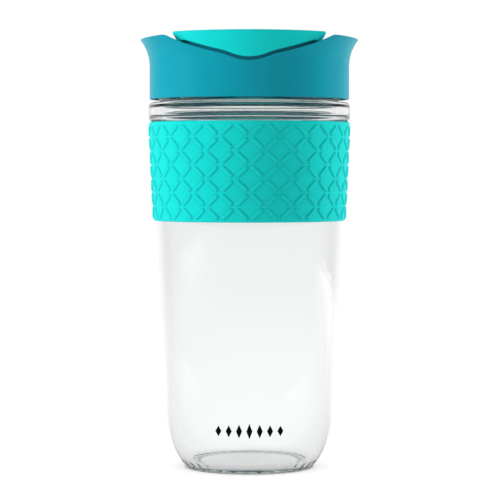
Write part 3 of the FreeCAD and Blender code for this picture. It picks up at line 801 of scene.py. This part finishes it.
@dataclass
class ScrewLid:
    """The lid: a soft collar that flares into two lips, over a rigid threaded insert."""

    saddle: SaddleEdge
    radius: float = 42.75
    wall: float = 1.75
    bottom: float = 157.85
    flare_start: float = 172.0
    flare_curve: float = 18.2
    flare_top: float = 184.6
    rim_round: float = 0.45
    bore: float = 40.1
    insert_radius: float = 40.98
    insert_bottom: float = 158.6
    deck: float = 170.0
    deck_thickness: float = 1.2
    deck_rise: float = 0.8
    opening: float = 18.0
    spigot_bottom: float = 166.0
    spigot_radius: float = 19.8
    skirt_inner: float = 33.1
    skirt_outer: float = 34.3
    skirt_bottom: float = 167.0
    insert_round: float = 0.3
    thread_height: float = 1.4
    thread_start: float = 161.75
    thread_lead: float = 10.0
    thread_turns: float = 0.35
    thread_root: float = 2.0
    thread_crest: float = 0.9
    thread_rows: int = 36
    gasket_inner: float = 34.5
    gasket_outer: float = 39.5
    gasket_bottom: float = 168.55
    gasket_top: float = 169.95
    seat_inner: float = 39.2
    seat_outer: float = 40.4
    seat_half_width: float = 26.3
    seat_foot: float = 171.6
    seat_rise: float = 2.4
    columns: int = 720

    def wall_radius(self, height: np.ndarray, inwards: float) -> np.ndarray:
        """Radius of the collar's outer face, or of the one a wall inside it.

        Straight up to the flare, then r = straight + curve - sqrt(curve^2 - rise^2).

        Args:
            height: heights of the points.
            inwards: distance inside the outer face.

        Returns:
            The radii.
        """
        curve = self.flare_curve + inwards
        rise = np.maximum(height - self.flare_start, 0)
        return self.radius - inwards + curve - np.sqrt(curve**2 - rise**2)

    def edge_height(self, inwards: float) -> np.ndarray:
        """Where each column meets the saddle, found by halving between the flare's ends.

        Args:
            inwards: distance of the face inside the outer one.

        Returns:
            One height per column.
        """
        beside = np.abs(np.cos(round_angles(self.columns)))
        low = np.full(self.columns, self.flare_start - 2)
        high = np.full(self.columns, self.flare_top)
        for _ in range(30):
            middle = (low + high) / 2
            under = middle < self.saddle.height(self.wall_radius(middle, inwards) * beside)
            low, high = np.where(under, middle, low), np.where(under, high, middle)
        return low

    def face_row(self, height: np.ndarray, inwards: float) -> np.ndarray:
        """A row of points on one face of the collar, as (columns, 3)."""
        radius, angle = self.wall_radius(height, inwards), round_angles(self.columns)
        return np.stack((radius * np.cos(angle), radius * np.sin(angle), height), axis=-1)

    def build_collar(self) -> None:
        """Make the soft collar, its rim rounded along the saddle."""
        rows, reaches = [], []
        outer_top, inner_top = self.edge_height(0.0), self.edge_height(self.wall)
        foot = np.full(self.columns, self.bottom)
        shares = np.concatenate((np.array([0.0, 0.08]), np.linspace(0.2, 0.94, 18), np.array([1.0])))
        for share in shares:
            rows.append(self.face_row(foot + (outer_top - foot) * share, 0.0))
            reaches.append({0.0: 0.4, 1.0: self.rim_round}.get(float(share), 0))
        for share in shares[::-1]:
            rows.append(self.face_row(foot + (inner_top - foot) * share, self.wall))
            reaches.append({0.0: 0.15, 1.0: self.rim_round}.get(float(share), 0))
        skin = round_rows(rows, reaches, True)
        mesh = skin_mesh("lid_collar", skin, Closing.RING)
        add_piece(mesh, COLLAR_SILICONE, "lid", "lid_shell")

    def build_insert(self) -> None:
        """Make the rigid insert: threaded ring, deck, spigot round the opening, centring skirt."""
        bore, deck, bottom = self.bore, self.deck, self.insert_bottom
        top = deck + self.deck_thickness
        outline = rounded_outline([
            (bore, bottom), (self.insert_radius, bottom), (self.insert_radius, top + self.deck_rise),
            (self.opening, top), (self.opening, self.spigot_bottom), (self.spigot_radius, self.spigot_bottom),
            (self.spigot_radius, deck), (self.skirt_inner, deck), (self.skirt_inner, self.skirt_bottom),
            (self.skirt_outer, self.skirt_bottom), (self.skirt_outer, deck), (bore, deck),
        ], self.insert_round, True)
        threaded_heights = np.linspace(deck - 0.5, bottom + 0.4, self.thread_rows)
        threaded = np.stack((np.full(self.thread_rows, bore), threaded_heights), axis=1)
        outline = np.concatenate((outline, threaded))
        columns = self.columns // 2
        height = np.repeat(outline[:, 1:], columns, axis=1)
        ridge = screw_ridge(round_angles(columns)[None], height, self.thread_start, self.thread_lead,
                            self.thread_turns, self.thread_root, self.thread_crest)
        ridge[:-self.thread_rows] = 0
        radius = outline[:, :1] - self.thread_height * ridge
        mesh = skin_mesh("lid_insert_ring", turn(radius, height, columns), Closing.RING)
        add_piece(mesh, INSERT_PLASTIC, "lid", "lid_insert")

    def build_seat(self, name: str, side: float) -> None:
        """Make one of the two walls that stand behind the collar's rim, front and back, and seat the cap.

        At each place x along the wall its section is a rounded box between two radii, from the deck to
        the saddle raised by a fixed amount.

        Args:
            name: name of the piece.
            side: -1 for the front, 1 for the back.
        """
        x = np.linspace(-self.seat_half_width, self.seat_half_width, 140)
        inner, outer = (np.sqrt(radius**2 - x**2) * side for radius in (self.seat_inner, self.seat_outer))
        foot, top = np.full(x.shape, self.seat_foot), self.saddle.height(x) + self.seat_rise
        corners = [np.stack(corner, axis=1) for corner in ((x, inner, foot), (x, outer, foot),
                                                           (x, outer, top), (x, inner, top))]
        sections = round_rows(corners, [0.1, 0.1, 0.35, 0.35], True).transpose(1, 0, 2)
        ends = [np.repeat(section.mean(axis=0)[None], section.shape[0], axis=0)[None]
                for section in (sections[0], sections[-1])]
        mesh = skin_mesh(name, np.concatenate((ends[0], sections, ends[1])), Closing.POLES)
        add_piece(mesh, INSERT_PLASTIC, "lid", "lid_insert")

    def build_gasket(self) -> None:
        """Make the flat ring that seals the deck on the glass."""
        inner, outer = self.gasket_inner, self.gasket_outer
        bottom, top = self.gasket_bottom, self.gasket_top
        outline = rounded_outline([(inner, bottom), (outer, bottom), (outer, top), (inner, top)], 0.35, True)
        mesh = skin_mesh("rim_gasket_ring", turn(outline[:, 0], outline[:, 1], 240), Closing.RING)
        add_piece(mesh, SEAL_SILICONE, "rim_seal", "rim_gasket")

    def build(self) -> None:
        """Make the lid's five pieces."""
        self.build_collar()
        self.build_insert()
        self.build_seat("lid_seat_front", -1.0)
        self.build_seat("lid_seat_back", 1.0)
        self.build_gasket()


@dataclass
class PullCap:
    """The cap: a flat-topped bridge whose skirts follow the saddle, with slanted ends, and its stopper."""

    saddle: SaddleEdge
    radius: float = 42.6
    top: float = 185.4
    wall: float = 1.8
    end_wall: float = 1.5
    half_width: float = 31.9
    end_height: float = 184.3
    foot_half_width: float = 28.3
    foot_height: float = 181.2
    wave_half_width: float = 27.2
    gap: float = 1.45
    edge_round: float = 0.55
    column_step: float = 0.4
    corner_passes: int = 4
    plug_radius: float = 17.4
    plug_bottom: float = 166.4
    plug_top: float = 183.6
    plug_chamfer: float = 0.8
    groove_radius: float = 15.7
    groove_bottom: float = 167.7
    groove_top: float = 170.1
    plug_mouth: float = 15.8
    plug_step: float = 171.7
    plug_bore: float = 14.1
    plug_floor: float = 168.0
    seal_middle: float = 16.86
    seal_height: float = 168.9
    seal_half_width: float = 1.1

    def plan(self, half_width: float, radius: float) -> np.ndarray:
        """One level of the cap seen from above, on columns that all levels share.

        Front and back are arcs of the cylinder with x = half_width * sin(a) / sin(widest a), and the
        ends are straight.

        Args:
            half_width: where the ends stand.
            radius: radius of the front and back faces.

        Returns:
            Points of shape (columns, 2), anticlockwise from the front's left end.
        """
        widest = math.asin(self.half_width / self.radius)
        on_arc = round(2 * widest * self.radius / self.column_step)
        on_end = round(2 * math.cos(widest) * self.radius / self.column_step)
        share = np.sin(np.linspace(-widest, widest, on_arc, endpoint=False)) / math.sin(widest)
        x = half_width * share
        front = np.stack((x, -np.sqrt(radius**2 - x**2)), axis=1)
        depth = math.sqrt(radius**2 - half_width**2)
        y = depth * np.linspace(-1, 1, on_end, endpoint=False)
        end = np.stack((np.full(on_end, half_width), y), axis=1)
        return np.concatenate((front, end, -front, -end))

    def skirt_height(self, x: np.ndarray) -> np.ndarray:
        """Height of the skirt's lower edge at x: the saddle raised by the gap, then down to the foot."""
        wave = self.saddle.height(np.minimum(np.abs(x), self.wave_half_width)) + self.gap
        share = (np.abs(x) - self.wave_half_width) / (self.foot_half_width - self.wave_half_width)
        drop = self.foot_height - self.saddle.height(self.wave_half_width) - self.gap
        return wave + drop * np.clip(share, 0, 1)

    def level(self, half_width: float, radius: float, height: float | np.ndarray) -> np.ndarray:
        """A row of the cap: one plan at a height, as (columns, 3)."""
        plan = self.plan(half_width, radius)
        return np.column_stack((plan, np.broadcast_to(height, len(plan))))

    def side(self, upper: tuple[float, float], lower_half_width: float, radius: float,
             shares: np.ndarray) -> list[np.ndarray]:
        """Rows down one face of the skirt, from a level plan to the wavy edge.

        Args:
            upper: half width and height of the level plan at the top.
            lower_half_width: half width at the wavy edge.
            radius: radius of the face.
            shares: how far down each row lies.

        Returns:
            One row for each share.
        """
        edge = self.skirt_height(self.plan(lower_half_width, radius)[:, 0])
        half_widths = upper[0] + (lower_half_width - upper[0]) * shares
        return [self.level(half_width, radius, upper[1] + (edge - upper[1]) * share)
                for half_width, share in zip(half_widths, shares)]

    def build_cover(self) -> None:
        """Make the cover, then ease its upright corners with a running mean along each row."""
        inner_radius, ceiling = self.radius - self.wall, self.top - self.wall
        inner_half, inner_foot = self.half_width - self.end_wall, self.foot_half_width - self.end_wall
        rows = [self.level(self.half_width, self.radius, self.top) * (share, share, 1)
                for share in (0, 0.25, 0.5, 0.75, 0.92, 0.97)]
        reaches = [0.0] * len(rows)
        rows += [self.level(self.half_width, self.radius, self.top)]
        reaches += [self.edge_round]
        down = np.concatenate((np.array([0.0]), np.linspace(0.12, 0.9, 14), np.array([1.0])))
        rows += self.side((self.half_width, self.end_height), self.foot_half_width, self.radius, down)
        reaches += [0.3] + [0.0] * (len(down) - 2) + [0.4]
        up = down[::-1]
        rows += self.side((inner_half, ceiling), inner_foot, inner_radius, up)
        reaches += [0.4] + [0.0] * (len(up) - 2) + [0.5]
        rows += [self.level(inner_half, inner_radius, ceiling) * (share, share, 1)
                 for share in (0.95, 0.6, 0.3, 0)]
        reaches += [0.0] * 4
        skin = round_rows(rows, reaches, False)
        for _ in range(self.corner_passes):
            skin = (np.roll(skin, 1, axis=1) + 2 * skin + np.roll(skin, -1, axis=1)) / 4
        mesh = skin_mesh("cap_bridge", skin, Closing.POLES)
        add_piece(mesh, CAP_PLASTIC, "cap", "cap_cover")

    def build_plug(self) -> None:
        """Make the hollow stopper with the groove for its seal."""
        outer, low, chamfer = self.plug_radius, self.plug_bottom, self.plug_chamfer
        outline = rounded_outline([
            (0, low), (outer - chamfer, low), (outer, low + chamfer),
            (outer, self.groove_bottom), (self.groove_radius, self.groove_bottom),
            (self.groove_radius, self.groove_top), (outer, self.groove_top),
            (outer, self.plug_top), (self.plug_mouth, self.plug_top), (self.plug_mouth, self.plug_step),
            (self.plug_bore, self.plug_step), (self.plug_bore, self.plug_floor), (0, self.plug_floor),
        ], 0.2, False)
        mesh = skin_mesh("cap_stopper", turn(outline[:, 0], outline[:, 1], 180), Closing.POLES)
        add_piece(mesh, CAP_PLASTIC, "cap", "cap_plug")

    def build_seal(self) -> None:
        """Make the stopper's O-ring."""
        around = round_angles(28)
        radius = self.seal_middle + self.seal_half_width * np.cos(around)
        height = self.seal_height + self.seal_half_width * np.sin(around)
        mesh = skin_mesh("stopper_seal", turn(radius, height, 180), Closing.RING)
        add_piece(mesh, SEAL_SILICONE, "cap", "plug_seal")

    def build(self) -> None:
        """Make the cap's three pieces."""
        self.build_cover()
        self.build_plug()
        self.build_seal()


# ---------------------------------------------------------------- the studio


@dataclass(frozen=True)
class Softbox:
    """A rectangular soft light that faces the middle of the cup, and that no surface mirrors."""

    name: str
    place: tuple[float, float, float]
    width: float
    height: float
    watts: float

    def build(self, target: np.ndarray) -> None:
        """Add the light, turned towards the target."""
        lamp = bpy.data.lights.new(self.name, "AREA")
        lamp.shape, lamp.size, lamp.size_y, lamp.energy = "RECTANGLE", self.width, self.height, self.watts
        light = bpy.data.objects.new(self.name, lamp)
        light.location = self.place
        away = light.location - Vector(target)
        light.rotation_euler = away.to_track_quat("Z", "Y").to_euler()
        light.visible_glossy = False
        light.visible_transmission = False
        bpy.context.scene.collection.objects.link(light)


@dataclass
class Studio:
    """Plain white studio: bright backdrop all round, a softbox on each side, a white floor.

    The lights, the camera and the floor's size are in metres, the shades round the foot in millimetres.
    """

    backdrop: float = 1.0
    ambient: float = 0.42
    front: float = 0.03
    behind: float = 0.85
    mirror_angles: tuple[float, float] = (60, 25)
    through_behind: float = 0.06
    through_beside: float = 0.0
    through_angles: tuple[float, float] = (30, 10)
    floor_glow: float = 0.76
    floor_extra: float = 0.12
    floor_bounce: float = 0.4
    shade_inner: float = 10.0
    shade_outer: float = 42.0
    shade_depth: float = 0.45
    contact_start: float = 26.5
    contact_end: float = 28.8
    contact_depth: float = 0.7
    floor_size: float = 200.0
    camera_distance: float = 0.946
    camera_height: float = 0.1277
    camera_side: float = 0.00026
    camera_tilt: float = 2.083
    lens: float = 158.4
    bounces: int = 64
    softboxes: tuple[Softbox, ...] = (
        Softbox("left softbox", (-0.99, -0.2, 0.15), 0.6, 0.9, 9.6),
        Softbox("right softbox", (0.9, 0.43, 0.15), 0.45, 0.9, 9.4),
    )

    def by_side(self, tree: bpy.types.NodeTree, direction: bpy.types.NodeSocket, beside: float,
                behind: float, angles: tuple[float, float]) -> bpy.types.NodeSocket:
        """A brightness that depends on the side of the cup: one value behind it, another all round.

        It changes smoothly with the cosine of the level angle from +Y.

        Args:
            tree: node tree of the surround or the floor.
            direction: direction or place seen, from the cup.
            beside: brightness beside and in front of the cup.
            behind: brightness behind it.
            angles: angle in degrees outside which all is as beside, and inside which all is as behind.

        Returns:
            The brightness.
        """
        level = add_node(tree, "ShaderNodeVectorMath", settings={"operation": "MULTIPLY"},
                         values={1: (1.0, 1.0, 0.0)}, links={0: direction})
        unit = add_node(tree, "ShaderNodeVectorMath", settings={"operation": "NORMALIZE"},
                        links={0: level.outputs["Vector"]})
        parts = add_node(tree, "ShaderNodeSeparateXYZ", links={"Vector": unit.outputs["Vector"]})
        rise = add_node(tree, "ShaderNodeMapRange", settings={"interpolation_type": "SMOOTHSTEP"},
                        values={"From Min": math.cos(math.radians(angles[0])),
                                "From Max": math.cos(math.radians(angles[1])),
                                "To Min": beside, "To Max": behind},
                        links={"Value": parts.outputs["Y"]})
        return rise.outputs["Result"]

    def mirrored(self, tree: bpy.types.NodeTree, direction: bpy.types.NodeSocket) -> bpy.types.NodeSocket:
        """What glossy surfaces mirror: the white backdrop behind the cup, a dim room in front and beside."""
        return self.by_side(tree, direction, self.front, self.behind, self.mirror_angles)

    def refracted(self, tree: bpy.types.NodeTree, direction: bpy.types.NodeSocket,
                  straight: float) -> bpy.types.NodeSocket:
        """What shows through the glass: the same white, a bit brighter straight behind the cup."""
        return self.by_side(tree, direction, straight + self.through_beside, straight + self.through_behind,
                            self.through_angles)

    def choose(self, tree: bpy.types.NodeTree, ray: str, other: float | bpy.types.NodeSocket,
               chosen: float | bpy.types.NodeSocket) -> bpy.types.NodeSocket:
        """One strength for a kind of ray and another for the rest.

        Args:
            tree: node tree that takes the nodes.
            ray: the light path's output for the kind of ray.
            other: strength for the rest.
            chosen: strength for that kind.

        Returns:
            The strength.
        """
        path = add_node(tree, "ShaderNodeLightPath")
        ends = {"To Min": other, "To Max": chosen}
        made = add_node(tree, "ShaderNodeMapRange",
                        values={name: end for name, end in ends.items() if isinstance(end, float)},
                        links={name: end for name, end in ends.items() if not isinstance(end, float)})
        tree.links.new(path.outputs[ray], made.inputs["Value"])
        return made.outputs["Result"]

    def build_world(self) -> None:
        """A white surround, seen straight or through the glass, that lights softly from all round."""
        world = bpy.data.worlds.new("White studio")
        bpy.context.scene.world = world
        world.use_nodes = True
        tree = world.node_tree
        place = add_node(tree, "ShaderNodeTexCoord")
        strength = self.choose(tree, "Is Transmission Ray", self.backdrop,
                               self.refracted(tree, place.outputs["Generated"], self.backdrop))
        strength = self.choose(tree, "Is Reflection Ray", strength,
                               self.mirrored(tree, place.outputs["Generated"]))
        strength = self.choose(tree, "Is Diffuse Ray", strength, self.ambient)
        background = tree.nodes["Background"]
        background.inputs["Color"].default_value = linear("ffffff")
        tree.links.new(strength, background.inputs["Strength"])

    def build_floor(self) -> None:
        """A white floor that glows evenly, except in the soft shade and thin contact shade at the foot."""
        half = self.floor_size / 2
        mesh = bpy.data.meshes.new("studio_floor")
        mesh.from_pydata([(-half, -half, 0), (half, -half, 0), (half, half, 0), (-half, half, 0)], [],
                         [(0, 1, 2, 3)])
        floor = bpy.data.objects.new("studio_floor", mesh)
        bpy.context.scene.collection.objects.link(floor)
        paper = bpy.data.materials.new("White studio paper")
        paper.use_nodes = True
        tree = paper.node_tree
        shader = tree.nodes["Principled BSDF"]
        shader.inputs["Base Color"].default_value = linear("9a9a9a")
        shader.inputs["Roughness"].default_value = 0.9
        shader.inputs["Specular IOR Level"].default_value = 0.0
        shader.inputs["Emission Color"].default_value = linear("ffffff")
        place = add_node(tree, "ShaderNodeTexCoord")
        away = add_node(tree, "ShaderNodeVectorMath", settings={"operation": "LENGTH"},
                        links={0: place.outputs["Object"]})
        glow = self.choose(tree, "Is Transmission Ray", self.floor_glow + self.floor_extra,
                           self.refracted(tree, place.outputs["Object"], self.floor_glow))
        open_floor = add_node(tree, "ShaderNodeMapRange", settings={"interpolation_type": "SMOOTHSTEP"},
                              values={"From Min": self.shade_inner * MM, "From Max": self.shade_outer * MM,
                                      "To Min": self.floor_glow * (1 - self.shade_depth)},
                              links={"Value": away.outputs["Value"], "To Max": glow})
        contact = add_node(tree, "ShaderNodeMapRange", settings={"interpolation_type": "SMOOTHSTEP"},
                           values={"From Min": self.contact_start * MM, "From Max": self.contact_end * MM,
                                   "To Min": 1 - self.contact_depth},
                           links={"Value": away.outputs["Value"]})
        touching = add_node(tree, "ShaderNodeMath", settings={"operation": "MULTIPLY"},
                            links={0: open_floor.outputs["Result"], 1: contact.outputs["Result"]})
        shaded = self.choose(tree, "Is Camera Ray", open_floor.outputs["Result"], touching.outputs["Value"])
        strength = self.choose(tree, "Is Reflection Ray", shaded,
                               self.mirrored(tree, place.outputs["Object"]))
        strength = self.choose(tree, "Is Diffuse Ray", strength, self.floor_bounce)
        tree.links.new(strength, shader.inputs["Emission Strength"])
        mesh.materials.append(paper)

    def build_camera(self) -> None:
        """The camera stands level with the middle of the sleeve and looks slightly down."""
        lens = bpy.data.cameras.new("studio camera")
        lens.lens, lens.sensor_width = self.lens, 36.0
        camera = bpy.data.objects.new("studio camera", lens)
        camera.location = (self.camera_side, -self.camera_distance, self.camera_height)
        camera.rotation_euler = (math.radians(90 - self.camera_tilt), 0, 0)
        bpy.context.scene.collection.objects.link(camera)
        bpy.context.scene.camera = camera

    def build(self) -> None:
        """Set up the surround, floor, lights and camera."""
        low, high = (np.array(corner) for corner in CAD_BOX)
        self.build_world()
        self.build_floor()
        for softbox in self.softboxes:
            softbox.build((low + high) / 2)
        self.build_camera()
        bpy.context.scene.view_settings.view_transform = "Standard"
        paths = bpy.context.scene.cycles
        paths.max_bounces = paths.glossy_bounces = paths.transmission_bounces = self.bounces


def main() -> None:
    """Build the studio and the cup, piece by piece."""
    logging.basicConfig(level=logging.INFO, format="%(name)s: %(message)s")
    Studio().build()
    sleeve_low, sleeve_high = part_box("silicone_sleeve")
    saddle = SaddleEdge()
    GlassVessel().build()
    GripSleeve(bottom=sleeve_low.z / MM, top=sleeve_high.z / MM).build()
    ScrewLid(saddle).build()
    PullCap(saddle).build()


if __name__ == "__main__":
    main()
